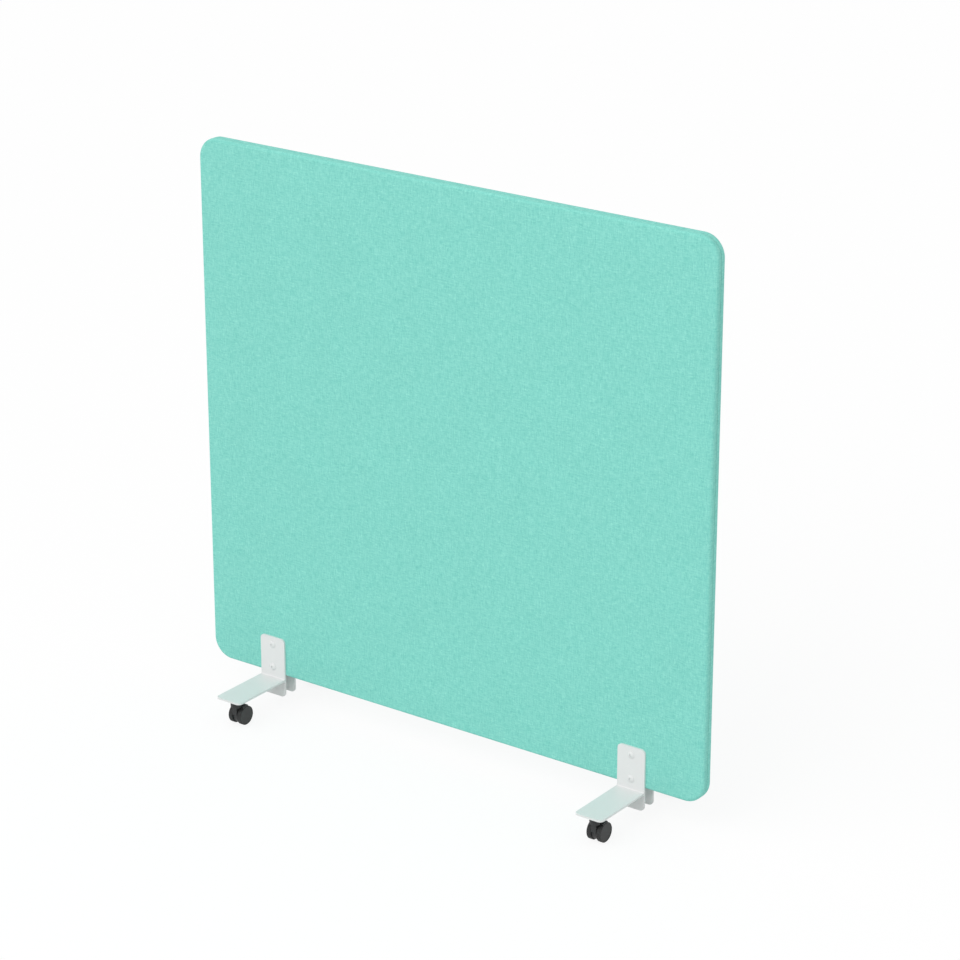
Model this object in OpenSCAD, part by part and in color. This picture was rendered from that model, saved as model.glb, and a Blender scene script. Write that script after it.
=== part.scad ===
// Acoustic divider screen on four twin-wheel casters.
// The origin is on the floor under the middle of the panel, +Z is up and the front faces -Y.

/* [Panel] */
// Width of the upholstered panel
panel_w = 1200; // [900:10:1800]
// Height of the upholstered panel
panel_h = 1110; // [700:10:1600]
// Radius of the panel's four corners
panel_corner_r = 43; // [20:1:50]
// Radius of the soft edge between a face and the rim
panel_edge_r = 6; // [2:0.5:8]
// Thickness of the cover fabric
fabric_t = 1; // [0.6:0.1:2]
// Thickness of the acoustic foam sheet on each face
foam_t = 5; // [3:0.5:12]

/* [Timber frame] */
// Thickness of the rails and stiles
frame_t = 15; // [12:1:30]
// Height of the top rail
top_rail_h = 60; // [50:1:100]
// Height of the bottom rail, which the brackets clamp
bottom_rail_h = 90; // [80:1:140]
// Width of the left and right stiles
side_stile_w = 60; // [50:1:90]
// Width of the middle stile
middle_stile_w = 50; // [40:1:90]
// Diameter of the dowels
dowel_d = 8; // [6:1:10]
// Length of the dowels, half in the rail and half in the stile
dowel_len = 50; // [30:2:60]
// Distance between the two dowels of a joint
dowel_pitch = 26; // [20:1:30]

/* [Brackets] */
// Distance from the panel's end to the middle of a bracket
bracket_inset = 160; // [110:5:300]
// Width of the upright plate and the foot
bracket_w = 62; // [50:1:90]
// Thickness of the steel
bracket_t = 4; // [3:0.5:6]
// Corner radius of the plate and the foot
bracket_corner_r = 9; // [3:0.5:14]
// Height of the upright plate above the panel's bottom edge
plate_above = 82; // [76:1:88]
// Length of the upright plate below the top face of the foot
plate_below = 39; // [20:1:48]
// Length of the foot in front of the upright plate
foot_len = 145; // [110:1:220]
// Distance from the panel's bottom edge down to the top face of the foot
foot_drop = 7; // [3:0.5:20]
// Radius of the fillet on top of the foot, at the upright plate
top_fillet_r = 3; // [2:0.5:6]
// Radius of the weld under the foot, at the upright plate
weld_r = 2.5; // [1:0.5:5]

/* [Clamping bolts] */
// Height of the lower bolt above the panel's bottom edge
bolt_low = 15; // [12:0.5:20]
// Distance between the lower and the upper bolt
bolt_pitch = 50; // [40:1:52]
// Diameter of the barrel that goes through the panel
barrel_d = 9; // [8:0.5:12]
// Diameter of the screw's shank
shank_d = 6; // [4:0.5:6]
// Length of the screw's shank inside the barrel
shank_len = 20; // [12:1:26]
// Diameter of the domed heads
head_d = 15; // [13:0.5:18]
// Height of the domed heads
head_h = 3.4; // [2.5:0.1:5]
// Height of the straight rim of the domed heads
head_rim_h = 0.8; // [0.4:0.1:1.2]
// Width across the flats of the hexagon socket in each domed head
socket_af = 5; // [3:0.5:6]
// Depth of the hexagon sockets
socket_depth = 2; // [1:0.1:2.4]

/* [Casters] */
// Diameter of the wheels
wheel_d = 40; // [34:1:60]
// Width of one wheel
wheel_w = 10; // [9:0.5:16]
// Radial thickness of the wheel's rim
rim_t = 3; // [2:0.5:5]
// Thickness of the wheel's outer disc
disc_t = 2.6; // [2:0.1:3]
// Chamfer along both edges of the tread
tread_chamfer = 0.8; // [0.3:0.1:1.5]
// Width of the raised ring round the outer face of the wheel
face_ring_w = 2; // [1:0.1:4]
// Depth of the outer face inside its ring
face_recess = 0.6; // [0.2:0.1:1]
// Diameter of the wheel's hub
hub_d = 12; // [10:0.5:14]
// Diameter of the axle
axle_d = 5; // [4:0.5:6]
// Horizontal distance between the swivel's axis and the axle
caster_trail = 14; // [13:0.5:22]
// Distance from the front edge of the foot to the swivel's axis
swivel_inset = 26; // [20:1:50]
// Width of the web between the two wheels
web_w = 11; // [11:0.5:16]
// Distance between the web and the floor
web_clearance = 3; // [2:0.5:6]
// Thickness of the hood's roof over the wheels
roof_t = 2.2; // [1.5:0.1:3]
// Height of the hood above the top of the wheels
hood_rise = 10; // [6:0.5:14]
// Diameter of the round top of the hood
hood_top_d = 22; // [16:0.5:24]
// Diameter of the swivel pin
pin_d = 8; // [6:0.5:8]
// Length of the swivel pin inside the hood
pin_len = 23; // [16:0.5:24]
// Height of the stem's collar
collar_h = 4.5; // [4:0.5:8]
// Width across the flats of the collar
collar_af = 13; // [12:0.5:17]
// Diameter of the thread that holds the stem in the foot
thread_d = 10; // [8:1:10]
// Height of the nut welded under the foot
nut_h = 5.2; // [5:0.1:10]
// Width across the flats of the welded nut
nut_af = 16; // [15:0.5:20]

/* [Hidden] */
// Radial clearance where a shaft turns in its bore
running_fit = 0.05;
// Radial clearance round pieces that don't turn
assembly_fit = 0.05;
// Radial clearance of the brackets' holes round the barrels
hole_clearance = 0.3;
// Gap between faces that move past each other
face_gap = 0.3;
// Gap between each wheel and the web
wheel_gap = 0.6;
// Gap between the wheels and the hood's roof
roof_gap = 0.8;
// Overrun of a cut past the face that it opens
cut = 1;
// Overlap of shapes joined into one solid
lap = 1;
// Facets of the panel's corners, of its soft edge and of the round metal pieces
corner_fn = 64;
edge_steps = 6;
round_fn = 48;

// Retaining ring near the lower end of the swivel pin
ring_h = 1.2;
ring_t = 1;
ring_groove_depth = 0.7;
ring_from_end = 4;
ring_slot_w = 2;
ring_end_play = 0.4;

// Small details of the stem, the wheel and the hood
washer_d = 15.5;
washer_h = 1.2;
hub_inset = 0.4;
pin_floor = 3.5;
roof_from_angle = 78;
roof_to_angle = 118;
stem_chamfer = 0.6;
thread_end_gap = 0.4;

panel_t = frame_t + 2 * foam_t + 2 * fabric_t;
edge_r = min(panel_edge_r, foam_t + fabric_t);
inner_w = panel_w - 2 * fabric_t;
inner_h = panel_h - 2 * fabric_t;
inner_corner_r = panel_corner_r - fabric_t;
inner_edge_r = edge_r - fabric_t;

wheel_r = wheel_d / 2;
hood_top = wheel_d + hood_rise;
collar_bottom = hood_top + face_gap;
collar_top = collar_bottom + collar_h;
foot_bottom = collar_top + nut_h;
foot_top = foot_bottom + bracket_t;
panel_bottom = foot_top + foot_drop;
panel_mid = panel_bottom + panel_h / 2;
frame_bottom = panel_bottom + fabric_t;
frame_top = frame_bottom + inner_h;
stile_bottom = frame_bottom + bottom_rail_h;
stile_top = frame_top - top_rail_h;
infill_w = (inner_w - 2 * side_stile_w - middle_stile_w) / 2;

bracket_x = panel_w / 2 - bracket_inset;
plate_face = panel_t / 2 + bracket_t;
foot_front = plate_face + foot_len;
swivel_y = foot_front - swivel_inset;
axle_y = swivel_y - caster_trail;
bolt_heights = [panel_bottom + bolt_low, panel_bottom + bolt_low + bolt_pitch];
barrel_len = panel_t + 2 * bracket_t - face_gap;
stile_xs = [
    -inner_w / 2 + side_stile_w / 2,
    0,
    inner_w / 2 - side_stile_w / 2
];
pin_bottom = hood_top - pin_len;
ring_z = pin_bottom + ring_from_end;
wheel_inner_x = web_w / 2 + wheel_gap;
axle_seat = wheel_w - face_recess - disc_t;
axle_len = 2 * (wheel_inner_x + axle_seat - face_gap);
web_r = wheel_r - web_clearance;
roof_r = wheel_r + roof_gap + roof_t;
caster_w = 2 * (wheel_inner_x + wheel_w);

front = -1;
rear = 1;
left = -1;
right = 1;
fabric_colour = "#85d6c6";
foam_colour = "#d9d6cc";
timber_colour = "#c9a878";
wool_colour = "#b9b29a";
coat_colour = "#e6e6e4";
steel_colour = "#b4b7ba";
hood_colour = "#2c2d2e";
wheel_colour = "#444545";

// Flat shapes

module rounded_rect(w, h, r) {
    square([w - 2 * r, h], center = true);
    square([w, h - 2 * r], center = true);
    for (x = [-1, 1], y = [-1, 1]) {
        translate([x * (w / 2 - r), y * (h / 2 - r)]) circle(r = r, $fn = corner_fn);
    }
}

// A strip from y = 0 to its length, with two round corners at the far end
module tongue(w, length, r) {
    translate([-w / 2, 0]) square([w, length - r]);
    translate([r - w / 2, 0]) square([w - 2 * r, length]);
    for (x = [-1, 1]) {
        translate([x * (w / 2 - r), length - r]) circle(r = r, $fn = corner_fn);
    }
}

// A slice of a disc between two angles
module sector(r, from, to) {
    reach = r / cos((to - from) / 2);
    middle = (from + to) / 2;
    intersection() {
        circle(r = r, $fn = corner_fn);
        polygon([
            [0, 0],
            [reach * cos(from), reach * sin(from)],
            [reach * cos(middle), reach * sin(middle)],
            [reach * cos(to), reach * sin(to)]
        ]);
    }
}

// Solids that stand in the panel's plane

// Extrudes a shape drawn in X and Z between two depths
module upright(y_from, y_to) {
    translate([0, y_to, 0]) rotate([90, 0, 0]) linear_extrude(y_to - y_from) children();
}

// One half of the panel: flat at y = 0 and with a soft edge round its face at y = -depth
module half_slab(w, h, depth, corner, edge) {
    steps = [for (i = [0 : edge_steps]) 90 * i / edge_steps];
    profile = concat(
        [[0, 0], [corner, 0]],
        [for (a = steps) [corner - edge + edge * cos(a), depth - edge + edge * sin(a)]],
        [[0, depth]]
    );
    hull() {
        for (x = [-1, 1], z = [-1, 1]) {
            translate([x * (w / 2 - corner), 0, z * (h / 2 - corner)])
                rotate([90, 0, 0])
                    rotate_extrude($fn = corner_fn) polygon(profile);
        }
    }
}

module at_panel(side) {
    translate([0, 0, panel_mid]) rotate([0, 0, side == front ? 0 : 180]) children();
}

// The four holes that the barrels take through the panel, on both sides of y = 0
module barrel_holes(reach) {
    for (x = [left, right], z = bolt_heights) {
        translate([x * bracket_x, 0, z])
            rotate([90, 0, 0])
                cylinder(d = barrel_d + 2 * assembly_fit, h = 2 * reach, center = true, $fn = round_fn);
    }
}

// Timber frame

module dowel_set(x, z, d, length) {
    for (side = [-1, 1]) {
        translate([x + side * dowel_pitch / 2, 0, z])
            cylinder(d = d, h = length, center = true, $fn = round_fn);
    }
}

module dowel_holes(xs) {
    for (x = xs, z = [stile_bottom, stile_top]) {
        dowel_set(x, z, dowel_d + 2 * assembly_fit, dowel_len + 2 * face_gap);
    }
}

// The part of the frame's outline between two heights and two sides
module frame_piece(x_from, x_to, z_from, z_to) {
    upright(-frame_t / 2, frame_t / 2) intersection() {
        translate([0, panel_mid]) rounded_rect(inner_w, inner_h, inner_corner_r);
        translate([x_from, z_from]) square([x_to - x_from, z_to - z_from]);
    }
}

module top_rail() {
    color(timber_colour) difference() {
        frame_piece(-inner_w / 2, inner_w / 2, stile_top, frame_top);
        dowel_holes(stile_xs);
    }
}

module bottom_rail() {
    color(timber_colour) difference() {
        frame_piece(-inner_w / 2, inner_w / 2, frame_bottom, stile_bottom);
        dowel_holes(stile_xs);
        barrel_holes(frame_t);
    }
}

module stile(x, w) {
    color(timber_colour) difference() {
        frame_piece(x - w / 2, x + w / 2, stile_bottom, stile_top);
        dowel_holes([x]);
    }
}

module frame_dowels() {
    color(timber_colour) for (x = stile_xs, z = [stile_bottom, stile_top]) {
        dowel_set(x, z, dowel_d, dowel_len);
    }
}

module infill(side) {
    x_mid = side * (middle_stile_w + infill_w) / 2;
    color(wool_colour) frame_piece(x_mid - infill_w / 2, x_mid + infill_w / 2, stile_bottom, stile_top);
}

// Foam and fabric

module foam(side) {
    color(foam_colour) difference() {
        at_panel(side) half_slab(inner_w, inner_h, frame_t / 2 + foam_t, inner_corner_r, inner_edge_r);
        cube([panel_w + cut, frame_t, 2 * (panel_bottom + panel_h)], center = true);
        barrel_holes(panel_t);
    }
}

module cover(side) {
    color(fabric_colour) difference() {
        at_panel(side) half_slab(panel_w, panel_h, panel_t / 2, panel_corner_r, edge_r);
        at_panel(side) translate([0, cut, 0])
            half_slab(inner_w, inner_h, frame_t / 2 + foam_t + cut, inner_corner_r, inner_edge_r);
        barrel_holes(panel_t);
    }
}

// Brackets

// Puts a piece drawn for the front side, with the panel's middle plane at y = 0, at its corner
module at_corner(side, end) {
    translate([end * bracket_x, 0, 0]) rotate([0, 0, side == front ? 0 : 180]) children();
}

// The corner that a round inside radius leaves between two faces, along X
module fillet(r) {
    rotate([90, 0, 90]) linear_extrude(bracket_w, center = true) difference() {
        translate([-r, 0]) square([r + bracket_t / 2, r]);
        translate([-r, r]) circle(r = r, $fn = corner_fn);
        translate([-r, -lap]) square([r, lap]);
    }
}

module bracket(side, end) {
    plate_bottom = foot_top - plate_below;
    plate_top = panel_bottom + plate_above;
    color(coat_colour) at_corner(side, end) difference() {
        union() {
            upright(-plate_face, -panel_t / 2)
                translate([0, (plate_bottom + plate_top) / 2])
                    rounded_rect(bracket_w, plate_top - plate_bottom, bracket_corner_r);
            translate([0, -plate_face + bracket_t / 2, foot_bottom])
                rotate([0, 0, 180])
                    linear_extrude(bracket_t)
                        tongue(bracket_w, foot_len + bracket_t / 2, bracket_corner_r);
            translate([0, -plate_face, foot_top]) fillet(top_fillet_r);
            translate([0, -plate_face, foot_bottom]) mirror([0, 0, 1]) fillet(weld_r);
            translate([0, -swivel_y, foot_bottom - nut_h])
                cylinder(d = nut_af / cos(30), h = nut_h + bracket_t / 2, $fn = 6);
        }
        for (z = bolt_heights) {
            translate([0, -panel_t / 2, z])
                rotate([90, 0, 0])
                    cylinder(d = barrel_d + 2 * hole_clearance, h = 2 * (bracket_t + cut),
                        center = true, $fn = round_fn);
        }
        translate([0, -swivel_y, foot_bottom - nut_h - cut])
            cylinder(d = thread_d + 2 * assembly_fit, h = nut_h + cut, $fn = round_fn);
    }
}

// Clamping bolts, which go through both brackets and the panel

// A domed head with its socket, rising along +Z from z = 0
module domed_head() {
    dome_h = head_h - head_rim_h;
    dome_r = (head_d * head_d / 4 + dome_h * dome_h) / (2 * dome_h);
    difference() {
        union() {
            cylinder(d = head_d, h = head_rim_h, $fn = round_fn);
            intersection() {
                translate([0, 0, head_h - dome_r]) sphere(r = dome_r, $fn = corner_fn);
                translate([0, 0, head_rim_h]) cylinder(d = head_d, h = head_h, $fn = round_fn);
            }
        }
        translate([0, 0, head_h - socket_depth])
            cylinder(d = socket_af / cos(30), h = socket_depth + cut, $fn = 6);
    }
}

module clamp_barrels() {
    color(coat_colour) for (end = [left, right], z = bolt_heights) {
        translate([end * bracket_x, -plate_face, z]) difference() {
            union() {
                rotate([90, 0, 0]) domed_head();
                rotate([-90, 0, 0]) cylinder(d = barrel_d, h = barrel_len, $fn = round_fn);
            }
            translate([0, barrel_len - shank_len - face_gap, 0])
                rotate([-90, 0, 0])
                    cylinder(d = shank_d + 2 * assembly_fit, h = shank_len + face_gap + cut,
                        $fn = round_fn);
        }
    }
}

module clamp_screws() {
    color(coat_colour) for (end = [left, right], z = bolt_heights) {
        translate([end * bracket_x, plate_face, z]) rotate([-90, 0, 0]) {
            domed_head();
            translate([0, 0, face_gap - shank_len])
                cylinder(d = shank_d, h = shank_len, $fn = round_fn);
        }
    }
}

// Casters, each drawn with its swivel axis at x = 0 and y = 0 and its axle at y = caster_trail

module at_swivel(side, end) {
    at_corner(side, end) translate([0, -swivel_y, 0]) children();
}

module stem(side, end) {
    r = pin_d / 2;
    ring_r = r - ring_groove_depth;
    color(steel_colour) at_swivel(side, end) {
        rotate_extrude($fn = round_fn) polygon([
            [0, pin_bottom],
            [r - stem_chamfer, pin_bottom],
            [r, pin_bottom + stem_chamfer],
            [r, ring_z],
            [ring_r, ring_z],
            [ring_r, ring_z + ring_h + 2 * assembly_fit],
            [r, ring_z + ring_h + 2 * assembly_fit],
            [r, collar_bottom],
            [washer_d / 2, collar_bottom],
            [washer_d / 2, collar_bottom + washer_h],
            [thread_d / 2, collar_bottom + washer_h],
            [thread_d / 2, foot_bottom - thread_end_gap - stem_chamfer],
            [thread_d / 2 - stem_chamfer, foot_bottom - thread_end_gap],
            [0, foot_bottom - thread_end_gap]
        ]);
        translate([0, 0, collar_bottom]) cylinder(d = collar_af / cos(30), h = collar_h, $fn = 6);
    }
}

// The split ring that keeps the swivel pin in the hood
module ring(side, end) {
    inner_r = pin_d / 2 - ring_groove_depth + assembly_fit;
    color(steel_colour) at_swivel(side, end) translate([0, 0, ring_z + assembly_fit]) difference() {
        cylinder(r = inner_r + ring_t, h = ring_h, $fn = round_fn);
        translate([0, 0, -cut]) cylinder(r = inner_r, h = ring_h + 2 * cut, $fn = round_fn);
        translate([-ring_slot_w / 2, 0, -cut]) cube([ring_slot_w, pin_d, ring_h + 2 * cut]);
    }
}

module hood(side, end) {
    ring_r = pin_d / 2 - ring_groove_depth + ring_t + face_gap;
    color(hood_colour) at_swivel(side, end) difference() {
        union() {
            translate([0, caster_trail, wheel_r]) rotate([90, 0, 90]) {
                linear_extrude(web_w, center = true) {
                    circle(r = web_r, $fn = corner_fn);
                    sector(roof_r - roof_t / 2, roof_from_angle, roof_to_angle);
                }
                linear_extrude(caster_w, center = true) difference() {
                    sector(roof_r, roof_from_angle, roof_to_angle);
                    circle(r = roof_r - roof_t, $fn = corner_fn);
                }
            }
            translate([-web_w / 2, -web_w / 2, pin_bottom - pin_floor])
                cube([web_w, web_w, wheel_d + roof_gap - pin_bottom + pin_floor]);
            translate([0, 0, wheel_d + roof_gap])
                cylinder(d = hood_top_d, h = hood_rise - roof_gap, $fn = round_fn);
        }
        translate([0, 0, pin_bottom - face_gap])
            cylinder(d = pin_d + 2 * running_fit, h = pin_len + face_gap + cut, $fn = round_fn);
        translate([0, 0, ring_z - ring_end_play / 2])
            cylinder(r = ring_r, h = ring_h + 2 * assembly_fit + ring_end_play, $fn = round_fn);
        translate([0, caster_trail, wheel_r])
            rotate([0, 90, 0])
                cylinder(d = axle_d + 2 * assembly_fit, h = web_w + 2 * cut, center = true, $fn = round_fn);
    }
}

module axle(side, end) {
    color(steel_colour) at_swivel(side, end)
        translate([0, caster_trail, wheel_r])
            rotate([0, 90, 0])
                cylinder(d = axle_d, h = axle_len, center = true, $fn = round_fn);
}

// One wheel; hand is 1 for the wheel on the caster's +X side and -1 for the other
module wheel(side, end, hand) {
    ring_in = wheel_r - face_ring_w;
    bore_r = axle_d / 2 + running_fit;
    color(wheel_colour) at_swivel(side, end)
        translate([hand * wheel_inner_x, caster_trail, wheel_r])
            rotate([0, hand * 90, 0])
                rotate_extrude($fn = corner_fn) polygon([
                    [0, axle_seat],
                    [bore_r, axle_seat],
                    [bore_r, hub_inset],
                    [hub_d / 2, hub_inset],
                    [hub_d / 2, wheel_w - face_recess - disc_t],
                    [wheel_r - rim_t, wheel_w - face_recess - disc_t],
                    [wheel_r - rim_t, 0],
                    [wheel_r - tread_chamfer, 0],
                    [wheel_r, tread_chamfer],
                    [wheel_r, wheel_w - tread_chamfer],
                    [wheel_r - tread_chamfer, wheel_w],
                    [ring_in, wheel_w],
                    [ring_in - face_recess, wheel_w - face_recess],
                    [0, wheel_w - face_recess]
                ]);
}

top_rail();
bottom_rail();
stile(stile_xs[0], side_stile_w);  // left_stile
stile(stile_xs[1], middle_stile_w);  // middle_stile
stile(stile_xs[2], side_stile_w);  // right_stile
frame_dowels();
infill(left);  // left_infill
infill(right);  // right_infill
foam(front);  // front_foam
foam(rear);  // rear_foam
cover(front);  // front_cover
cover(rear);  // rear_cover
bracket(front, left);  // front_left_bracket
bracket(front, right);  // front_right_bracket
bracket(rear, left);  // rear_left_bracket
bracket(rear, right);  // rear_right_bracket
clamp_barrels();
clamp_screws();
stem(front, left);  // front_left_stem
stem(front, right);  // front_right_stem
stem(rear, left);  // rear_left_stem
stem(rear, right);  // rear_right_stem
ring(front, left);  // front_left_ring
ring(front, right);  // front_right_ring
ring(rear, left);  // rear_left_ring
ring(rear, right);  // rear_right_ring
hood(front, left);  // front_left_hood
hood(front, right);  // front_right_hood
hood(rear, left);  // rear_left_hood
hood(rear, right);  // rear_right_hood
axle(front, left);  // front_left_axle
axle(front, right);  // front_right_axle
axle(rear, left);  // rear_left_axle
axle(rear, right);  // rear_right_axle
wheel(front, left, 1);  // front_left_wheel_a
wheel(front, left, -1);  // front_left_wheel_b
wheel(front, right, 1);  // front_right_wheel_a
wheel(front, right, -1);  // front_right_wheel_b
wheel(rear, left, 1);  // rear_left_wheel_a
wheel(rear, left, -1);  // rear_left_wheel_b
wheel(rear, right, 1);  // rear_right_wheel_a
wheel(rear, right, -1);  // rear_right_wheel_b
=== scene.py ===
import math
import bpy, bmesh
from mathutils import Euler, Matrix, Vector, noise


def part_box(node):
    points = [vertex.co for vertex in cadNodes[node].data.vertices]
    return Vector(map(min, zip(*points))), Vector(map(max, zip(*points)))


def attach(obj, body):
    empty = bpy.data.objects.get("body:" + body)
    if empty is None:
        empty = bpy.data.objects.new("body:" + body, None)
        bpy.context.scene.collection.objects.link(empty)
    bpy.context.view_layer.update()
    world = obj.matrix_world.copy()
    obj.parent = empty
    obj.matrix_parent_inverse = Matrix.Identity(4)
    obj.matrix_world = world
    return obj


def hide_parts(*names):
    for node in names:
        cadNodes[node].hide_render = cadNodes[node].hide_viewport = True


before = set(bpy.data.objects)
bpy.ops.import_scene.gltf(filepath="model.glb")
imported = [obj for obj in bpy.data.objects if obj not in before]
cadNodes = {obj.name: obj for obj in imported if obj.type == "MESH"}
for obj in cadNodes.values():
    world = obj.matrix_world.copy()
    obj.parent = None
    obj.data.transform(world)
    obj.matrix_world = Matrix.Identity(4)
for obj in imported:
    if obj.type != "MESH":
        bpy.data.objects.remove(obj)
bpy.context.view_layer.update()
print("screen: frame loaded,", len(cadNodes), "nodes")


def intoScene(name, data):
    thing = bpy.data.objects.new(name, data)
    bpy.context.scene.collection.objects.link(thing)
    return thing


# camera at the angle of the photograph
photoView = {
    "lensMm": 119.0,
    "sensorMm": 36,
    "clip": (0.05, 200),
    "yawDeg": 36.06,       # from straight in front towards the right end
    "pitchDeg": 20.84,     # looking down
    "distance": 6.079,     # metres to the panel's middle
    "aim": (0, 0, 0.671),
    "across": -0.0591,     # where the aim stands off the picture's centre
    "up": 0.0762,
}


def placeCamera(view):
    yaw, pitch = math.radians(view["yawDeg"]), math.radians(view["pitchDeg"])
    turn = Euler((math.pi / 2 - pitch, 0, yaw))
    right, up, back = [Vector(axis) for axis in turn.to_matrix().transposed()]
    lens = bpy.data.cameras.new("photoCamera")
    lens.lens = view["lensMm"]
    lens.sensor_width = view["sensorMm"]
    lens.clip_start, lens.clip_end = view["clip"]
    camera = intoScene("photoCamera", lens)
    spot = Vector(view["aim"]) + back * view["distance"]
    camera.location = spot - right * view["across"] - up * view["up"]
    camera.rotation_euler = turn
    bpy.context.scene.camera = camera


placeCamera(photoView)
bpy.context.scene.view_settings.view_transform = "Standard"
print("screen: camera placed")


# small helpers for material nodes

def addNode(tree, kind, sockets=None, **settings):
    node = tree.nodes.new(kind)
    for key, value in settings.items():
        setattr(node, key, value)
    for key, value in (sockets or {}).items():
        if isinstance(value, bpy.types.NodeSocket):
            tree.links.new(value, node.inputs[key])
        else:
            node.inputs[key].default_value = value
    return node


def calc(tree, what, a, b=0.0, c=0.0):
    return addNode(tree, "ShaderNodeMath", {0: a, 1: b, 2: c}, operation=what).outputs[0]


def times(tree, a, b):
    return calc(tree, "MULTIPLY", a, b)


def fade(tree, value, low, high, lowOut=0.0, highOut=1.0):
    # a smooth step from lowOut to highOut as value goes from low to high
    return addNode(tree, "ShaderNodeMapRange", {0: value, 1: low, 2: high, 3: lowOut, 4: highOut},
                   interpolation_type="SMOOTHSTEP").outputs[0]


def swing(tree, value, middle, reach):
    # a noise from 0 to 1 made into a factor round middle
    return calc(tree, "MULTIPLY_ADD", value, 2 * reach, middle - reach)


def mixOf(tree, share, first, second):
    return addNode(tree, "ShaderNodeMix", {0: share, 2: first, 3: second}).outputs[0]


def blendColours(tree, share, first, second):
    node = addNode(tree, "ShaderNodeMix", data_type="RGBA")
    for socket, value in ((node.inputs[0], share), (node.inputs[6], first), (node.inputs[7], second)):
        if isinstance(value, bpy.types.NodeSocket):
            tree.links.new(value, socket)
        else:
            socket.default_value = (*value, 1.0)
    return node.outputs[2]


def shadeOf(tree, colour, shade):
    return addNode(tree, "ShaderNodeVectorMath", {0: colour, "Scale": shade}, operation="SCALE").outputs[0]


def cloud(tree, where, size, detail=3.0, rough=0.5):
    # soft noise whose patches are about size metres across
    return addNode(tree, "ShaderNodeTexNoise", {"Vector": where, "Scale": 1 / size, "Detail": detail,
                                                "Roughness": rough}).outputs["Fac"]


def stretched(tree, where, stretch):
    return addNode(tree, "ShaderNodeVectorMath", {0: where, 1: stretch}, operation="MULTIPLY").outputs[0]


def axesOf(tree, where):
    return addNode(tree, "ShaderNodeSeparateXYZ", {0: where}).outputs


def startMaterial(name, roughness, **fixed):
    material = bpy.data.materials.new(name)
    material.use_nodes = True
    tree = material.node_tree
    shader = tree.nodes["Principled BSDF"]
    shader.inputs["Roughness"].default_value = roughness
    for key, value in fixed.items():
        shader.inputs[key.replace("_", " ")].default_value = value
    spot = addNode(tree, "ShaderNodeTexCoord").outputs["Object"]
    return material, tree, shader, spot


def feed(tree, shader, **sockets):
    for key, value in sockets.items():
        tree.links.new(value, shader.inputs[key.replace("_", " ")])


def addBump(tree, shader, height, metres, strength=1.0):
    bump = addNode(tree, "ShaderNodeBump", {"Height": height, "Distance": metres, "Strength": strength})
    tree.links.new(bump.outputs[0], shader.inputs["Normal"])


def edgeWear(tree, radius):
    # 0 on the faces, rising to 1 on the edges
    rounded = addNode(tree, "ShaderNodeBevel", {"Radius": radius}, samples=6).outputs[0]
    flat = addNode(tree, "ShaderNodeNewGeometry").outputs["Normal"]
    same = addNode(tree, "ShaderNodeVectorMath", {0: rounded, 1: flat}, operation="DOT_PRODUCT")
    return fade(tree, same.outputs["Value"], 0.99, 0.78)


# woven cover of the panel
cloth = {
    "colour": (0.259, 0.733, 0.639),
    "darkYarn": 0.86,        # shade of the darkest fleck, as a share of the colour
    "middleYarns": ((0.16, 0.965), (0.5, 1.0), (0.84, 1.03)),  # place between dark and pale, and shade there
    "paleYarn": 1.14,
    "yarnSpread": (0.24, 0.76),  # the part of the noise that makes the whole way from dark to pale
    "redSwing": 2.3,         # how much more the red part changes than the rest from fleck to fleck
    "threadPitch": 0.0013,   # metres from thread to thread
    "threadPaintedLight": 0.09,     # painted light and shade: how much paler a thread's round middle is than the shaded gaps
    "gapPaintedShade": 0.94,
    "wander": 0.45,          # how far the threads wander, in threads
    "wanderSize": 0.017,
    "fleckLength": 0.008,    # length of a fleck of another shade along its thread
    "threadsApart": 7.31,    # steps between neighbours in the fleck noise, so that they don't match
    "weftSeed": 3.5,
    "warpSeed": 8.5,
    "fibreLength": 0.0009,
    "fibreStray": 0.35,      # how far the fibres stray over the edge of their thread, in threads
    "slubWidth": 0.0028,     # thick places of the yarn
    "slubLength": 0.015,
    "slubSpread": (0.32, 0.68),
    "slubShade": 0.032,
    "feltPatch": 0.006,      # clouds where the felted surface is thicker or thinner
    "feltShade": 0.04,
    "broadPatch": 0.11,
    "broadShade": 0.025,
    "fuzzSize": 0.00045,
    "fuzzShare": 1.1,        # of the bump, against a thread's hump
    "bumpHeight": 0.0003,
    "bumpStrength": 0.8,
    "roughness": 0.92,
}


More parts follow.
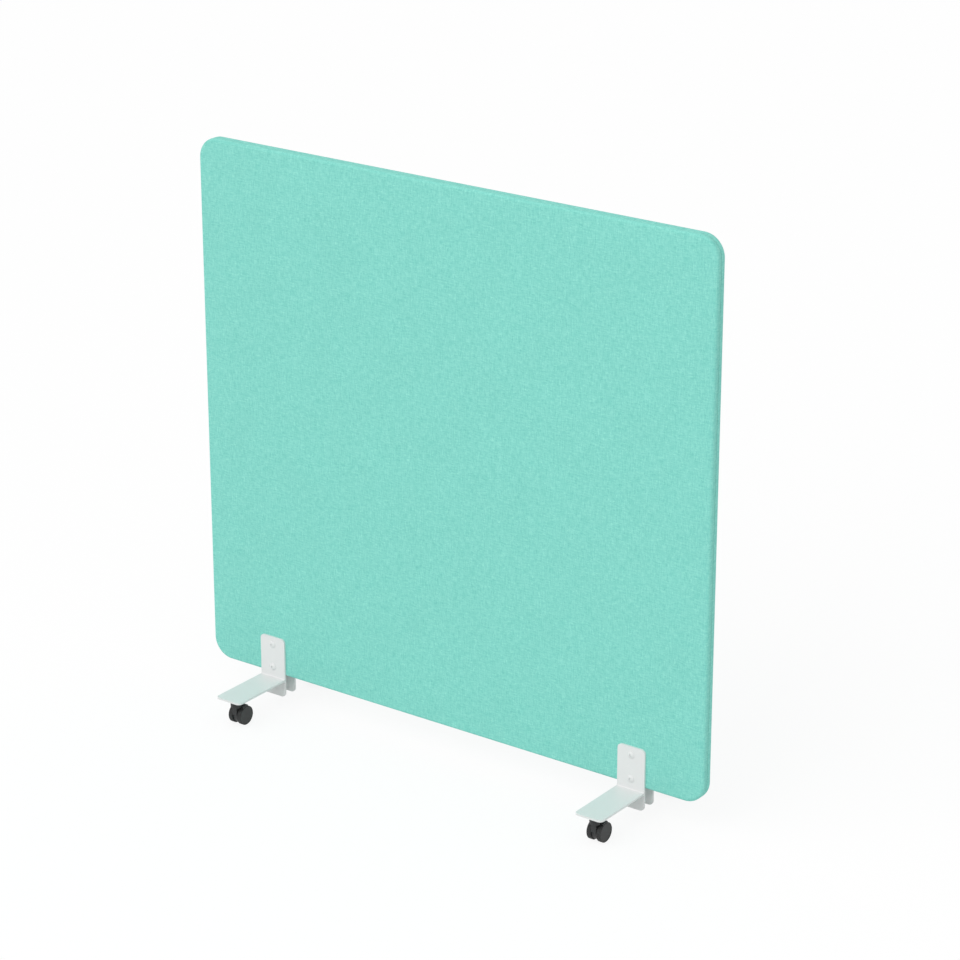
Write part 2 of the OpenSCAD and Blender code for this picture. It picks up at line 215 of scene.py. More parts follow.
def weaveCloth():
    material, tree, shader, _ = startMaterial(
        "melangeCloth", cloth["roughness"], Sheen_Weight=0.06, Sheen_Roughness=0.5, Specular_IOR_Level=0.2)
    lay = addNode(tree, "ShaderNodeUVMap", uv_map="clothLay").outputs[0]
    parts = axesOf(tree, lay)
    pitch = cloth["threadPitch"]
    # threads wander a little and their edges are hairy, so that the weave has no ruled look
    wander = swing(tree, cloud(tree, lay, cloth["wanderSize"], 2.0), 0.0, cloth["wander"])
    hairs = axesOf(tree, addNode(
        tree, "ShaderNodeTexNoise", {"Vector": lay, "Scale": 1 / cloth["fibreLength"]}).outputs["Color"])
    u, v = [calc(tree, "ADD", calc(tree, "ADD", calc(tree, "DIVIDE", parts[k], pitch), wander),
                 swing(tree, hairs[k], 0.0, cloth["fibreStray"])) for k in (0, 1)]
    uThread, vThread = calc(tree, "FLOOR", u), calc(tree, "FLOOR", v)
    uHump, vHump = [calc(tree, "SINE", times(tree, calc(tree, "FRACT", way), math.pi)) for way in (u, v)]
    over = calc(tree, "FLOORED_MODULO", calc(tree, "ADD", uThread, vThread), 2.0)
    across = times(tree, calc(tree, "SQRT", uHump), vHump)
    along = times(tree, uHump, calc(tree, "SQRT", vHump))

    def shadeOfThread(thread, run, seed):
        # each thread drifts from shade to shade along its length, apart from its neighbours
        where = addNode(tree, "ShaderNodeCombineXYZ", {
            0: times(tree, thread, cloth["threadsApart"]),
            1: times(tree, run, pitch / cloth["fleckLength"]),
            2: seed})
        return addNode(tree, "ShaderNodeTexNoise", {"Vector": where.outputs[0], "Scale": 1.0,
                                                    "Detail": 1.0}).outputs["Fac"]

    weft = shadeOfThread(vThread, u, cloth["weftSeed"])
    warp = shadeOfThread(uThread, v, cloth["warpSeed"])
    pick = mixOf(tree, over, weft, warp)
    hump = mixOf(tree, over, across, along)
    # a few dark and a few pale flecks in a plain middle shade
    ramp = addNode(tree, "ShaderNodeValToRGB", {0: fade(tree, pick, *cloth["yarnSpread"])})
    stops = [(0.0, cloth["darkYarn"]), *cloth["middleYarns"], (1.0, cloth["paleYarn"])]
    while len(ramp.color_ramp.elements) < len(stops):
        ramp.color_ramp.elements.new(0.5)
    for stop, (place, shade) in zip(ramp.color_ramp.elements, stops):
        # halved, because a stop holds no more than 1
        stop.position, stop.color = place, (shade / 2, shade / 2, shade / 2, 1)
    yarn = times(tree, ramp.outputs[0], 2.0)
    # streaks where the yarn is thick, lying both ways
    slim = cloth["slubWidth"] / cloth["slubLength"]
    streaks = [cloud(tree, stretched(tree, lay, drawn), cloth["slubWidth"], 1.0)
               for drawn in ((slim, 1, 1), (1, slim, 1))]
    slubs = [fade(tree, streak, *cloth["slubSpread"], 1 - cloth["slubShade"], 1 + cloth["slubShade"])
             for streak in streaks]
    yarn = times(tree, yarn, times(tree, *slubs))
    patch = swing(tree, cloud(tree, lay, cloth["feltPatch"], 3.0, 0.6), 1.0, cloth["feltShade"])
    broad = swing(tree, cloud(tree, lay, cloth["broadPatch"], 2.0), 1.0, cloth["broadShade"])
    # painted shade: the gaps between threads are darker and the threads' round middles paler, following the
    # same hump as the bump
    weavePaintedShade = calc(tree, "MULTIPLY_ADD", hump, cloth["threadPaintedLight"], cloth["gapPaintedShade"])
    melange = times(tree, yarn, patch)
    shade = times(tree, times(tree, melange, weavePaintedShade), broad)
    redder = calc(tree, "POWER", melange, cloth["redSwing"] - 1)
    red, green, blue = cloth["colour"]
    tint = addNode(tree, "ShaderNodeCombineXYZ", {0: times(tree, redder, red), 1: green, 2: blue}).outputs[0]
    feed(tree, shader, Base_Color=shadeOf(tree, tint, shade))
    fuzz = cloud(tree, lay, cloth["fuzzSize"], 2.0)
    addBump(tree, shader, calc(tree, "MULTIPLY_ADD", fuzz, cloth["fuzzShare"], hump),
            cloth["bumpHeight"], cloth["bumpStrength"])
    return material


# sizes of the panel that the cover, the foam and the wool share, in metres
panel = {
    "halfWide": 0.600, "low": 0.071, "tall": 1.110, "halfDeep": 0.0135,
    "corner": 0.043,       # radius of the panel's corners
    "edge": 0.006,         # radius of the soft edge round a face
    "frameHalf": 0.0075,   # half of the timber frame's thickness
    "plateX": 0.440, "plateHalf": 0.031, "plateTop": 0.153, "plateThick": 0.004,
    "boltHeights": (0.086, 0.136), "boltHole": 0.0048,
    "cutterLength": 0.2,   # well past both faces
}
middleHeight = panel["low"] + panel["tall"] / 2
boltSpots = [(side * panel["plateX"], z) for side in (-1, 1) for z in panel["boltHeights"]]
# each half's name, its side along Y and the seed of its unevenness
halves = (("front", -1, 1.7), ("rear", 1, 6.3))


def smooth(low, high, value):
    t = min(max((value - low) / (high - low), 0.0), 1.0)
    return t * t * (3 - 2 * t)


def linesOf(half, corner, pitch, cells):
    # places of the grid's lines, with the given number of cells over each corner
    inner = half - corner
    steps = max(2, round(2 * inner / pitch))
    left = [-half + corner * k / cells for k in range(cells)]
    mid = [-inner + 2 * inner * k / steps for k in range(steps + 1)]
    return left + mid + [-x for x in reversed(left)]


def roundedGrid(halfWide, halfTall, corner, pitch, cells):
    # a grid whose outline is a rectangle with round corners, and the outward direction of its border
    grid, outward = [], {}
    xs, zs = linesOf(halfWide, corner, pitch, cells), linesOf(halfTall, corner, pitch, cells)
    innerWide, innerTall = halfWide - corner, halfTall - corner
    for row, zFlat in enumerate(zs):
        line = []
        for column, xFlat in enumerate(xs):
            u = max(abs(xFlat) - innerWide, 0) / corner
            v = max(abs(zFlat) - innerTall, 0) / corner
            x, z = xFlat, zFlat
            if u > 0 and v > 0:
                x = math.copysign(innerWide + corner * u * math.sqrt(1 - v * v / 2), xFlat)
                z = math.copysign(innerTall + corner * v * math.sqrt(1 - u * u / 2), zFlat)
            line.append((x, z))
            if row in (0, len(zs) - 1) or column in (0, len(xs) - 1):
                way = Vector((math.copysign(max(abs(x) - innerWide, 0), x),
                              math.copysign(max(abs(z) - innerTall, 0), z)))
                outward[row, column] = way.normalized()
        grid.append(line)
    rows, columns = len(zs), len(xs)
    border = [(0, c) for c in range(columns)] + [(r, columns - 1) for r in range(1, rows)]
    border += [(rows - 1, c) for c in range(columns - 2, -1, -1)] + [(r, 0) for r in range(rows - 2, 0, -1)]
    return grid, outward, border


def closedShell(name, side, centre, halfWide, halfTall, corner, rim, faceOut, faceIn, pitch,
                cells=6, pucker=None):
    # rim lists (how far out of the grid's border, depth) from the outer face's border to the inner face's
    grid, outward, border = roundedGrid(halfWide, halfTall, corner, pitch, cells)
    mesh = bpy.data.meshes.new(name)
    shape = bmesh.new()
    lay = shape.loops.layers.uv.new("clothLay")
    where = {}

    def put(x, z, y, u, v):
        vert = shape.verts.new((centre[0] + x, side * y, centre[1] + z))
        where[vert] = (side * u, v)
        return vert

    def netOf(depthAt):
        net = [[put(x, z, depthAt(x, centre[1] + z), x, z) for x, z in line] for line in grid]
        return net, [net[row][column] for row, column in border]

    front, frontRim = netOf(faceOut)
    back, backRim = netOf(faceIn)
    rings = [frontRim]
    run, last = 0.0, (0.0, faceOut(halfWide, centre[1]))
    for out, depth in rim:
        run += math.hypot(out - last[0], depth - last[1])
        last = (out, depth)
        ring = []
        for row, column in border:
            x, z = grid[row][column]
            way = outward[row, column]
            far = out + (pucker(way, depth) if pucker else 0.0)
            ring.append(put(x + way.x * far, z + way.y * far, depth, x + way.x * run, z + way.y * run))
        rings.append(ring)
    rings.append(backRim)

    def quad(a, b, c, d):
        face = shape.faces.new((a, b, c, d) if side < 0 else (d, c, b, a))
        face.smooth = True
        for loop in face.loops:
            loop[lay].uv = where[loop.vert]

    for net, flip in ((front, False), (back, True)):
        for low, high in zip(net, net[1:]):
            for k in range(len(low) - 1):
                pick = (low[k], low[k + 1], high[k + 1], high[k])
                quad(*(reversed(pick) if flip else pick))
    for near, far in zip(rings, rings[1:]):
        for k in range(len(border)):
            after = (k + 1) % len(border)
            quad(near[after], near[k], far[k], far[after])
    shape.normal_update()
    shape.to_mesh(mesh)
    shape.free()
    return intoScene(name, mesh)


def boltHoles(piece):
    # cuts the four round holes along Y, with every cutter in one mesh
    cutter = bmesh.new()
    radius = panel["boltHole"]
    for x, z in boltSpots:
        made = bmesh.ops.create_cone(cutter, cap_ends=True, segments=24, radius1=radius, radius2=radius,
                                     depth=panel["cutterLength"])
        bmesh.ops.rotate(cutter, verts=made["verts"], matrix=Euler((math.pi / 2, 0, 0)).to_matrix())
        bmesh.ops.translate(cutter, verts=made["verts"], vec=(x, 0, z))
    mesh = bpy.data.meshes.new("holeCutter")
    cutter.to_mesh(mesh)
    cutter.free()
    tool = intoScene("holeCutter", mesh)
    cut = piece.modifiers.new("holes", "BOOLEAN")
    cut.object, cut.operation, cut.solver = tool, "DIFFERENCE", "EXACT"
    bpy.context.view_layer.update()
    seen = piece.evaluated_get(bpy.context.evaluated_depsgraph_get())
    done = bpy.data.meshes.new_from_object(seen)
    piece.modifiers.clear()
    piece.data = done
    bpy.data.objects.remove(tool)
    return piece


def arc(radius, depthAt, steps, fromDeg, toDeg):
    # a rim's points over a round edge, from the face at 0 degrees to the side at 90
    points = []
    for k in range(steps + 1):
        angle = math.radians(fromDeg + (toDeg - fromDeg) * k / steps)
        points.append((radius * math.sin(angle), depthAt + radius * math.cos(angle)))
    return points


def dress(piece, material, slotName, *nodes):
    piece.data.materials.clear()
    piece.data.materials.append(material)
    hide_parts(*nodes)
    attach(piece, "screen")


# front and rear cover, stretched over the foam and closed by a seam along the rim's middle
cover = {
    "gridPitch": 0.010, "cornerCells": 20,
    "skin": 0.001,         # thickness of the cloth
    "outerArc": (7, 13, 90),  # steps over the soft edge, and its first and last degree
    "innerArc": (4, 20, 88),
    # from the soft edge into the seam and back: how far out of the rim's flat, depth from the middle
    "intoSeam": ((0.0001, 0.0058), (0.00015, 0.0042), (0.0001, 0.0026), (-0.0001, 0.0013),
                 (-0.0005, 0.0005), (-0.0009, 0.00012), (-0.00105, 0.0009)),
    "liningFrom": 0.003,   # depth at which the inside of the rim starts
    "liningGap": 0.0003,
    "crown": 0.0007,       # how far the foam pushes the cloth out between the edges
    "crownFade": (0.004, 0.05),  # distance from the panel's edge over which it rises
    "ripple": 0.00022,     # slow unevenness of the foam
    "rippleFade": (0.006, 0.06),
    "waves": (9, 27),      # of the unevenness, for each metre
    "plateFade": 0.014,    # how far round a plate the cloth is held down
    "plateClear": 0.0015,
    "puckerDeep": 0.00022, # small gathers that the seam makes round the corners
    "puckerReach": 0.0065,
    "puckers": 15,
    "cutSize": (1.238, 1.148),
}


def crownAt(x, z, seed):
    # how far the face stands out of its flat place, held down by the plates and by the edge
    fromEdge = min(panel["halfWide"] - abs(x), panel["tall"] / 2 - abs(z - middleHeight))
    slow, quick = [noise.noise(Vector((x * waves, z * waves, seed))) for waves in cover["waves"]]
    out = cover["crown"] * smooth(*cover["crownFade"], fromEdge)
    out += cover["ripple"] * (slow + 0.5 * quick) * smooth(*cover["rippleFade"], fromEdge)
    aside = max(abs(abs(x) - panel["plateX"]) - panel["plateHalf"], 0.0)
    above = max(z - panel["plateTop"], 0.0)
    return out * smooth(0.0, cover["plateFade"], math.hypot(aside, above) - cover["plateClear"])


def puckerAt(way, depth):
    slant = min(abs(way.x), abs(way.y)) * math.sqrt(2)
    turn = math.atan2(abs(way.y), abs(way.x)) / (math.pi / 2)
    near = 1 - smooth(0.0, cover["puckerReach"], depth)
    return -cover["puckerDeep"] * slant * near * (0.5 - 0.5 * math.cos(2 * math.pi * cover["puckers"] * turn))


def makeCover(name, side, seed):
    edge, half, skin = panel["edge"], panel["halfDeep"], cover["skin"]
    inside = edge - skin
    rim = arc(edge, half - edge, *cover["outerArc"])
    rim += [(edge + out, depth) for out, depth in cover["intoSeam"]]
    rim += [(inside, cover["liningFrom"]), (inside, half - edge - cover["liningGap"])]
    rim += reversed(arc(inside, half - edge, *cover["innerArc"]))
    return boltHoles(closedShell(
        name, side, (0.0, middleHeight), panel["halfWide"] - edge, panel["tall"] / 2 - edge,
        panel["corner"] - edge, rim,
        lambda x, z: half + crownAt(x, z, seed),
        lambda x, z: half - skin + crownAt(x, z, seed),
        cover["gridPitch"], cover["cornerCells"], puckerAt))


clothMaterial = weaveCloth()
covers = {}
for word, side, seed in halves:
    covers[word] = makeCover(word + "ClothCover", side, seed)
    dress(covers[word], clothMaterial, "cover_fabric", word + "_cover")
print("screen: covers made,", len(covers["front"].data.polygons), "faces each")

# acoustic foam between the frame and the cover
foamPad = {
    "colour": (0.62, 0.61, 0.56),
    "roughness": 0.95,
    "cellSize": 0.0011,
    "poreWallPaintedLight": 0.45,     # painted shade: how much paler a cell's wall is than its darker middle, the pore
    "poreMiddlePaintedShade": 0.72,
    "patch": 0.08,
    "patchShade": 0.07,
    "bumpHeight": 0.0005,
    "gridPitch": 0.020,
    "edgeArc": (5, 15, 80),
    "tuck": 0.0004,        # how far the pad's back draws in under its edge
    "slack": 0.0002,       # gap to the cloth and to the frame
    "fill": 0.9,
}


def foamMaterial():
    material, tree, shader, spot = startMaterial("openCellFoam", foamPad["roughness"], Specular_IOR_Level=0.2)
    cells = addNode(tree, "ShaderNodeTexVoronoi", {"Vector": spot, "Scale": 1 / foamPad["cellSize"]})
    cell = cells.outputs["Distance"]
    # painted shade: the middle of each cell, where the bump sinks into a pore, is darker than its walls
    shade = times(tree, calc(tree, "MULTIPLY_ADD", cell, foamPad["poreWallPaintedLight"], foamPad["poreMiddlePaintedShade"]),
                  swing(tree, cloud(tree, spot, foamPad["patch"]), 1.0, foamPad["patchShade"]))
    feed(tree, shader, Base_Color=shadeOf(tree, foamPad["colour"], shade))
    addBump(tree, shader, cell, foamPad["bumpHeight"])
    return material


def makePad(name, side, seed):
    skin, slack, deep = cover["skin"], foamPad["slack"], panel["frameHalf"] + foamPad["slack"] / 2
    top = panel["halfDeep"] - skin - slack
    edge = panel["edge"] - skin - slack
    rim = arc(edge, top - edge, *foamPad["edgeArc"]) + [(edge - foamPad["tuck"], deep)]
    return boltHoles(closedShell(
        name, side, (0.0, middleHeight), panel["halfWide"] - panel["edge"], panel["tall"] / 2 - panel["edge"],
        panel["corner"] - panel["edge"], rim,
        lambda x, z: top + crownAt(x, z, seed),
        lambda x, z: deep,
        foamPad["gridPitch"]))


foamFinish = foamMaterial()
for word, side, seed in halves:
    pad = makePad(word + "FoamPad", side, seed)
    dress(pad, foamFinish, "foam", word + "_foam")
print("screen: foam pads made")

# mineral wool between the stiles
woolBatt = {
    "colour": (0.47, 0.40, 0.24),
    "roughness": 0.97,
    "fibre": 0.0009,
    "lying": (0.12, 1.0, 1.0),     # how the fibres are drawn out, along X and along Z
    "crossing": (1.0, 1.0, 0.2),
    "fibreSpread": (0.35, 0.75),
    # shade of the fibres: partly their own tone, partly painted shade in the low places between them
    "fibreToneAndPaintedShade": (0.7, 1.15),
    "clump": 0.03,
    "clumpShade": 0.15,
    "bumpHeight": 0.0012,
    "gridPitch": 0.012, "cornerCells": 3,
    "edgeArc": (4, 15, 90),
    "slack": 0.0012,       # gap to the rails and stiles
    "foamGap": 0.0002,
    "edge": 0.0035,
    "lump": 0.0005,        # unevenness of its faces
    "lumps": 30,           # for each metre
    "fill": 0.4,
}


def woolMaterial():
    material, tree, shader, spot = startMaterial(
        "mineralWool", woolBatt["roughness"], Specular_IOR_Level=0.15)
    lying, crossing = [cloud(tree, stretched(tree, spot, woolBatt[way]), woolBatt["fibre"], 3.0, 0.65)
                       for way in ("lying", "crossing")]
    fibres = calc(tree, "MAXIMUM", lying, crossing)
    clumps = cloud(tree, spot, woolBatt["clump"], 2.0)
    # the fibres' tone varies, and the low places between them, where the bump sinks, are darker: painted
    # shade
    shade = times(tree, fade(tree, fibres, *woolBatt["fibreSpread"], *woolBatt["fibreToneAndPaintedShade"]),
                  swing(tree, clumps, 1.0, woolBatt["clumpShade"]))
    feed(tree, shader, Base_Color=shadeOf(tree, woolBatt["colour"], shade))
    addBump(tree, shader, fibres, woolBatt["bumpHeight"])
    return material


def makeBatt(name, node, seed):
    low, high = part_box(node)
    edge, inset = woolBatt["edge"], woolBatt["slack"]
    centre = ((low.x + high.x) / 2, (low.z + high.z) / 2)
    half = panel["frameHalf"] - woolBatt["lump"] - woolBatt["foamGap"]
    rim = arc(edge, half - edge, *woolBatt["edgeArc"])
    rim += [(out, -depth) for out, depth in reversed(rim)]

    def lumpAt(x, z):
        return woolBatt["lump"] * noise.noise(Vector((x * woolBatt["lumps"], z * woolBatt["lumps"], seed)))

    return closedShell(
        name, -1, centre, (high.x - low.x) / 2 - inset - edge, (high.z - low.z) / 2 - inset - edge,
        edge, rim,
        lambda x, z: half + lumpAt(x, z),
        lambda x, z: -half + lumpAt(z, x),
        woolBatt["gridPitch"], woolBatt["cornerCells"])


woolFinish = woolMaterial()
for word, seed in (("left", 2.2), ("right", 9.4)):
    batt = makeBatt(word + "WoolBatt", word + "_infill", seed)
    dress(batt, woolFinish, "acoustic_infill", word + "_infill")
print("screen: wool batts made")


def finishNodes(material, *names):
    for name in names:
        for materialSlot in cadNodes[name].material_slots:
            materialSlot.material = material


# timber frame inside the panel
timber = {
    "pale": (0.66, 0.47, 0.27),
    "dark": (0.43, 0.25, 0.11),
    "dowelPale": (0.62, 0.40, 0.23),
    "drawn": 0.05,         # the grain along the piece, against across it
    "ringWidth": 0.006,
    "bend": 0.05,          # how the rings bend, and by how many
    "bendRings": 7.0,
    "lateWood": (0.35, 0.92),  # where in a ring the dark part rises
    "lateShare": 0.75,
    "pore": 0.0006,
    "poreShade": 0.10,
    "patch": 0.09,
    "patchShade": 0.08,
    "roughness": 0.68,
    "lateRoughness": 0.54,
    "bumpHeight": 0.00012,
}


def timberMaterial(name, pale, along):
    material, tree, shader, spot = startMaterial(name, timber["roughness"], Specular_IOR_Level=0.3)
    drawn = [1.0, 1.0, 1.0]
    drawn[along] = timber["drawn"]
    grain = stretched(tree, spot, drawn)
    bend = times(tree, cloud(tree, grain, timber["bend"], 2.0), timber["bendRings"])
    across = calc(tree, "DIVIDE", axesOf(tree, grain)[2 - along], timber["ringWidth"])
    ring = calc(tree, "FRACT", calc(tree, "ADD", across, bend))
    late = fade(tree, ring, *timber["lateWood"])
    pores = cloud(tree, grain, timber["pore"], 2.0)
    tone = blendColours(tree, times(tree, late, timber["lateShare"]), pale, timber["dark"])
    shade = times(tree, swing(tree, pores, 1.0, timber["poreShade"]),
                  swing(tree, cloud(tree, grain, timber["patch"]), 1.0, timber["patchShade"]))
    feed(tree, shader, Base_Color=shadeOf(tree, tone, shade),
         Roughness=fade(tree, late, 0.0, 1.0, timber["roughness"], timber["lateRoughness"]))
    addBump(tree, shader, calc(tree, "MULTIPLY_ADD", late, 0.5, pores), timber["bumpHeight"])
    return material


finishNodes(timberMaterial("pineRail", timber["pale"], 0), "top_rail", "bottom_rail")
finishNodes(timberMaterial("pineStile", timber["pale"], 2), "left_stile", "middle_stile", "right_stile")
finishNodes(timberMaterial("beechDowel", timber["dowelPale"], 2), "frame_dowels")

# brackets and bolts in white powder coating, the bolts' shanks in bare zinc
coating = {
    "white": (0.765, 0.775, 0.772),
    "thin": (0.50, 0.52, 0.52),  # where the edges have worn thin
    "wear": 0.45,
    "wearSize": 0.01,
    "roughness": 0.36,
    "peelSize": 0.0016,          # the fine unevenness of the sprayed powder
    "peelHeight": 0.00002,
    "peelRoughness": 0.06,
    "mottleSize": 0.035,
    "mottle": 0.012,
    "scuffSize": 0.004,
    "scuffSpread": (0.66, 0.80),
    "scuffRoughness": 0.12,
    "shankFade": 0.0002,         # over which the coating ends behind the plate's face
    "edgeRadius": 0.0006,
}
zinc = {
    "bright": (0.60, 0.61, 0.62),
    "dull": (0.42, 0.43, 0.44),
    "roughness": 0.30,
    "lineSize": 0.002,           # fine lines that the lathe leaves round a piece
    "lineDrawn": (0.1, 8.0),     # round the piece, and from line to line
    "lineHeight": 0.00001,
    "bloomSize": 0.004,
    "bloomRoughness": 0.16,
    "edgeRadius": 0.0003,
}
plateFace = panel["halfDeep"] + panel["plateThick"]


def zincLines(tree, spot, axis):
    drawn = [zinc["lineDrawn"][0]] * 3
    drawn[axis] = zinc["lineDrawn"][1]
    return cloud(tree, stretched(tree, spot, drawn), zinc["lineSize"], 2.0)


def coatingMaterial(name, withShank):
    material, tree, shader, spot = startMaterial(name, coating["roughness"], Specular_IOR_Level=0.3)
    peel = cloud(tree, spot, coating["peelSize"], 2.0)
    mottle = swing(tree, cloud(tree, spot, coating["mottleSize"], 2.0), 1.0, coating["mottle"])
    scuffs = cloud(tree, stretched(tree, spot, (1.0, 0.25, 1.0)), coating["scuffSize"], 3.0, 0.7)
    worn = times(tree, edgeWear(tree, coating["edgeRadius"]), cloud(tree, spot, coating["wearSize"]))
    tone = blendColours(tree, times(tree, worn, coating["wear"]), coating["white"], coating["thin"])
    tone = shadeOf(tree, tone, mottle)
    peeled = calc(tree, "MULTIPLY_ADD", peel, coating["peelRoughness"],
                  coating["roughness"] - coating["peelRoughness"] / 2)
    scuffed = fade(tree, scuffs, *coating["scuffSpread"])
    roughness = calc(tree, "MULTIPLY_ADD", scuffed, coating["scuffRoughness"], peeled)
    if withShank:
        deep = calc(tree, "ABSOLUTE", axesOf(tree, spot)[1])
        bare = fade(tree, deep, plateFace, plateFace - coating["shankFade"])
        metal = blendColours(tree, zincLines(tree, spot, 1), zinc["dull"], zinc["bright"])
        tone = blendColours(tree, bare, tone, metal)
        feed(tree, shader, Metallic=bare)
    feed(tree, shader, Base_Color=tone, Roughness=roughness)
    addBump(tree, shader, peel, coating["peelHeight"])
    return material


def zincMaterial(name, axis):
    material, tree, shader, spot = startMaterial(name, zinc["roughness"], Metallic=1.0)
    lines = zincLines(tree, spot, axis)
    bloom = cloud(tree, spot, zinc["bloomSize"], 3.0)
    worn = edgeWear(tree, zinc["edgeRadius"])
    share = calc(tree, "MAXIMUM", times(tree, calc(tree, "ADD", lines, bloom), 0.5), worn)
    feed(tree, shader, Base_Color=blendColours(tree, share, zinc["dull"], zinc["bright"]),
         Roughness=calc(tree, "MULTIPLY_ADD", bloom, zinc["bloomRoughness"],
                        zinc["roughness"] - zinc["bloomRoughness"] / 2))
    addBump(tree, shader, lines, zinc["lineHeight"])
    return material


def roundEdges(name, width):
    # closes the node's faces into one skin and gives its edges a small radius
    node = cadNodes[name]
    weld = node.modifiers.new("weld", "WELD")
    weld.merge_threshold = 0.00001
    bevel = node.modifiers.new("edgeRadius", "BEVEL")
    bevel.width, bevel.segments = width, 2
    bevel.limit_method, bevel.angle_limit = "ANGLE", math.radians(30)
    node.modifiers.new("normals", "WEIGHTED_NORMAL")


corners = ["front_left", "front_right", "rear_left", "rear_right"]


def atCorners(*parts):
    return [corner + part for corner in corners for part in parts]


finishNodes(coatingMaterial("whiteCoating", False), *atCorners("_bracket"))
finishNodes(coatingMaterial("coatedBolt", True), "clamp_barrels", "clamp_screws")
for bracket in atCorners("_bracket"):
    roundEdges(bracket, coating["edgeRadius"])
finishNodes(zincMaterial("zincStem", 2), *atCorners("_stem", "_ring"))
finishNodes(zincMaterial("zincAxle", 0), *atCorners("_axle"))
print("screen: timber, brackets and metal parts finished")

# casters in moulded nylon
caster = {
    "hood": (0.028, 0.029, 0.030),
    "wheel": (0.033, 0.034, 0.034),
    "tread": (0.023, 0.024, 0.024),
    "scuffed": (0.11, 0.11, 0.11),
    "shine": 0.35,
    "hoodRoughness": (0.46, 0.07),  # in the middle, and how far the grain moves it
    "hoodGrain": 0.0005,
    "hoodMottle": (0.008, 0.12),    # size and shade
    "hoodWear": (0.0005, 0.005),    # radius of the worn edges, and size of the patches
    "hoodScuff": 0.5,
    "partingLine": (0.00035, 0.0001),  # half widths of the mould's line over the hood, at its foot and top
    "partingHeight": 2.5,
    "wheelRoughness": (0.50, 0.06),
    "wheelGrain": 0.0006,
    "wheelMottle": (0.007, 0.10),
    "wheelWear": (0.0004, 0.006),
    "wheelScuff": 0.28,
    "turnedRings": 1800.0,     # for each metre of radius
    "ringHeight": 0.6,
    "treadFrom": (0.0012, 0.0004),  # inside the wheel's radius
    "treadRoughness": 0.18,
    "dustSize": 0.004,
    "dustSpread": (0.45, 0.75),
    "grainHeight": 0.00002,
}
wheelLow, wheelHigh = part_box("front_left_wheel_a")
axleAt = ((wheelLow.y + wheelHigh.y) / -2, (wheelLow.z + wheelHigh.z) / 2)
wheelRadius = (wheelHigh.z - wheelLow.z) / 2


def startNylon(name, part):
    material, tree, shader, spot = startMaterial(
        name, caster[part + "Roughness"][0], Specular_IOR_Level=caster["shine"])
    grain = cloud(tree, spot, caster[part + "Grain"], 2.0)
    mottleSize, mottleShade = caster[part + "Mottle"]
    mottle = swing(tree, cloud(tree, spot, mottleSize), 1.0, mottleShade)
    wornRadius, wornPatch = caster[part + "Wear"]
    worn = times(tree, edgeWear(tree, wornRadius), cloud(tree, spot, wornPatch))
    rough = swing(tree, grain, *caster[part + "Roughness"])
    return material, tree, shader, spot, grain, mottle, worn, rough


def hoodMaterial():
    material, tree, shader, spot, grain, mottle, worn, rough = startNylon("hoodNylon", "hood")
    tone = shadeOf(tree, caster["hood"], mottle)
    scuffs = times(tree, worn, caster["hoodScuff"])
    feed(tree, shader, Base_Color=blendColours(tree, scuffs, tone, caster["scuffed"]), Roughness=rough)
    # the mould's parting line runs over the middle of the hood
    aside = calc(tree, "SUBTRACT", calc(tree, "ABSOLUTE", axesOf(tree, spot)[0]), panel["plateX"])
    line = fade(tree, calc(tree, "ABSOLUTE", aside), *caster["partingLine"])
    height = calc(tree, "MULTIPLY_ADD", line, caster["partingHeight"], grain)
    addBump(tree, shader, height, caster["grainHeight"])
    return material


def wheelMaterial():
    material, tree, shader, spot, grain, mottle, worn, rough = startNylon("wheelNylon", "wheel")
    parts = axesOf(tree, spot)
    along = calc(tree, "SUBTRACT", calc(tree, "ABSOLUTE", parts[1]), axleAt[0])
    up = calc(tree, "SUBTRACT", parts[2], axleAt[1])
    radius = calc(tree, "SQRT", calc(tree, "ADD", times(tree, along, along), times(tree, up, up)))
    tread = fade(tree, radius, *[wheelRadius - inside for inside in caster["treadFrom"]])
    rings = addNode(tree, "ShaderNodeTexNoise", {"W": radius, "Scale": caster["turnedRings"], "Detail": 2.0},
                    noise_dimensions="1D").outputs["Fac"]
    specks = fade(tree, cloud(tree, spot, caster["dustSize"], 4.0, 0.7), *caster["dustSpread"])
    dust = times(tree, tread, specks)
    tone = shadeOf(tree, blendColours(tree, tread, caster["wheel"], caster["tread"]), mottle)
    scuffs = times(tree, calc(tree, "MAXIMUM", dust, worn), caster["wheelScuff"])
    feed(tree, shader, Base_Color=blendColours(tree, scuffs, tone, caster["scuffed"]),
         Roughness=calc(tree, "MULTIPLY_ADD", tread, caster["treadRoughness"], rough))
    height = calc(tree, "MULTIPLY_ADD", rings, caster["ringHeight"], grain)
    addBump(tree, shader, height, caster["grainHeight"])
    return material


finishNodes(hoodMaterial(), *atCorners("_hood"))
finishNodes(wheelMaterial(), *atCorners("_wheel_a", "_wheel_b"))
print("screen: casters finished")

# floor, backdrop and light
studio = {
    "floorHalf": 60,         # metres
    "floorBelow": 0.0002,    # under the wheels
    "floorColour": (0.81, 0.81, 0.81),
    "shownFloor": 0.13,      # the share of the floor that the camera sees as lit, so that it keeps the shadow
    "shownWhite": 0.872,     # and what is added to it to make it white
    "shownSky": 0.99,
    "sky": 0.87,
    "skyBehind": 0.75,       # the share of it left behind the screen, so that the rear edges are darker
    "behindFrom": (0.0, 0.5),  # how steeply towards the rear that begins and is complete
    "keyPower": 0.44,
    "keyFrom": (-0.17, -0.93, 0.95),
    "keyAngleDeg": 45,
    "boxPower": 19.0,
    "boxAt": (0.8, -3.3, 3.3),
    "boxAim": (0, 0, 0.6),
    "boxSize": 1.6,
    "glintPower": 0.14,
    "glintFrom": (-0.62, -0.62, 0.50),
    "glintAngleDeg": 12,
}


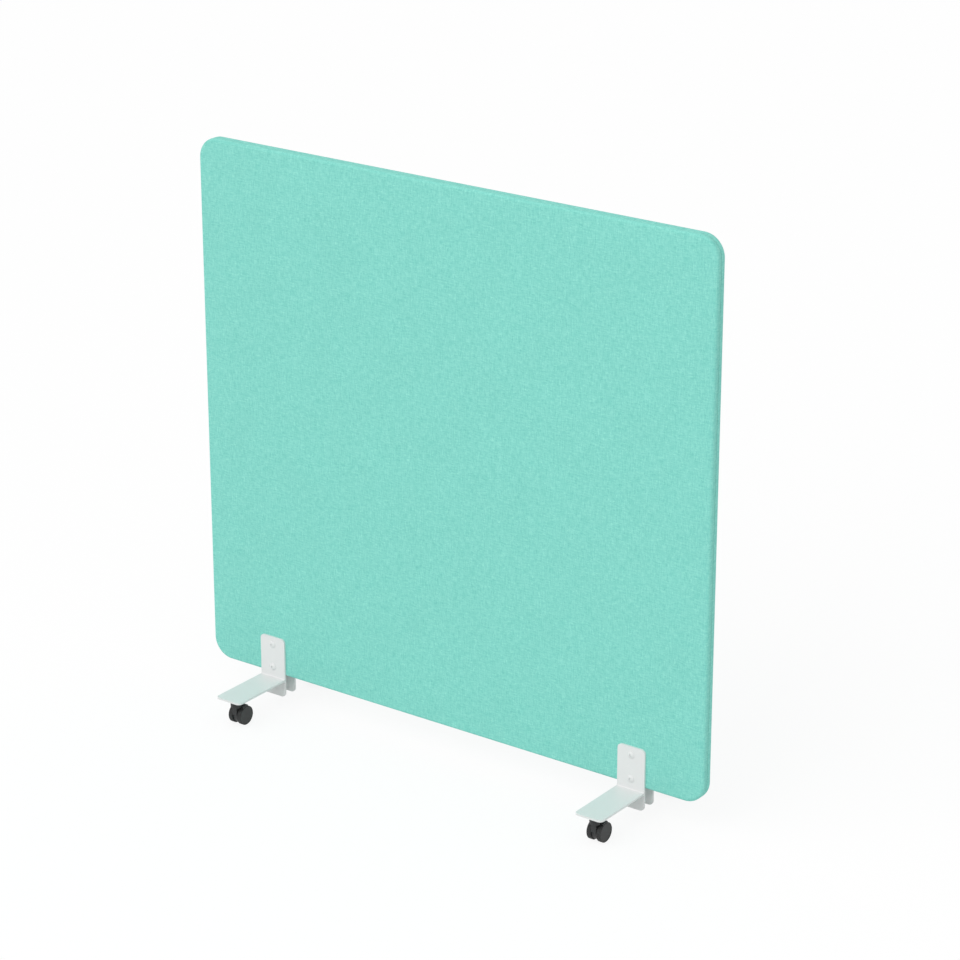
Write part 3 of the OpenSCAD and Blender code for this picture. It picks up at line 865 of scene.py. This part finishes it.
def seenByCamera(tree):
    path = addNode(tree, "ShaderNodeLightPath")
    seen = calc(tree, "MAXIMUM", path.outputs["Is Camera Ray"], path.outputs["Is Glossy Ray"])
    return calc(tree, "MAXIMUM", seen, path.outputs["Is Transmission Ray"])


def makeFloor():
    wide = studio["floorHalf"]
    mesh = bpy.data.meshes.new("studioFloor")
    mesh.from_pydata([(-wide, -wide, 0), (wide, -wide, 0), (wide, wide, 0), (-wide, wide, 0)], [],
                     [(0, 1, 2, 3)])
    floor = intoScene("studioFloor", mesh)
    floor.location.z = -studio["floorBelow"]
    material = bpy.data.materials.new("studioWhite")
    material.use_nodes = True
    tree = material.node_tree
    tree.nodes.clear()
    plain = addNode(tree, "ShaderNodeBsdfDiffuse", {0: (*studio["floorColour"], 1)})
    share = studio["shownFloor"]
    shaded = addNode(tree, "ShaderNodeBsdfDiffuse", {0: (share, share, share, 1)})
    glow = addNode(tree, "ShaderNodeEmission", {0: (1, 1, 1, 1), 1: studio["shownWhite"]})
    shown = addNode(tree, "ShaderNodeAddShader", {0: shaded.outputs[0], 1: glow.outputs[0]})
    both = addNode(tree, "ShaderNodeMixShader",
                   {0: seenByCamera(tree), 1: plain.outputs[0], 2: shown.outputs[0]})
    addNode(tree, "ShaderNodeOutputMaterial", {0: both.outputs[0]})
    mesh.materials.append(material)


def makeWorld():
    world = bpy.data.worlds.new("studioWorld")
    world.use_nodes = True
    tree = world.node_tree
    tree.nodes.clear()
    towards = addNode(tree, "ShaderNodeTexCoord").outputs["Generated"]
    behind = fade(tree, axesOf(tree, towards)[1], *studio["behindFrom"])
    light = calc(tree, "MULTIPLY_ADD", behind, studio["sky"] * (studio["skyBehind"] - 1), studio["sky"])
    level = mixOf(tree, seenByCamera(tree), light, studio["shownSky"])
    sky = addNode(tree, "ShaderNodeBackground", {0: (1, 1, 1, 1), 1: level})
    addNode(tree, "ShaderNodeOutputWorld", {0: sky.outputs[0]})
    bpy.context.scene.world = world


def turnTo(direction):
    return Vector(direction).to_track_quat("Z", "Y").to_euler()


def makeLamp(word):
    lamp = bpy.data.lights.new(word + "Lamp", "SUN")
    lamp.energy = studio[word + "Power"]
    lamp.angle = math.radians(studio[word + "AngleDeg"])
    intoScene(word + "Lamp", lamp).rotation_euler = turnTo(studio[word + "From"])


def makeSoftBox():
    # near enough to light the upper right of the panel a little more than the lower left
    lamp = bpy.data.lights.new("softBox", "AREA")
    lamp.energy, lamp.size = studio["boxPower"], studio["boxSize"]
    box = intoScene("softBox", lamp)
    box.location = studio["boxAt"]
    box.rotation_euler = turnTo(box.location - Vector(studio["boxAim"]))


makeFloor()
makeWorld()
makeLamp("key")
makeLamp("glint")
makeSoftBox()
print("screen: studio lit")
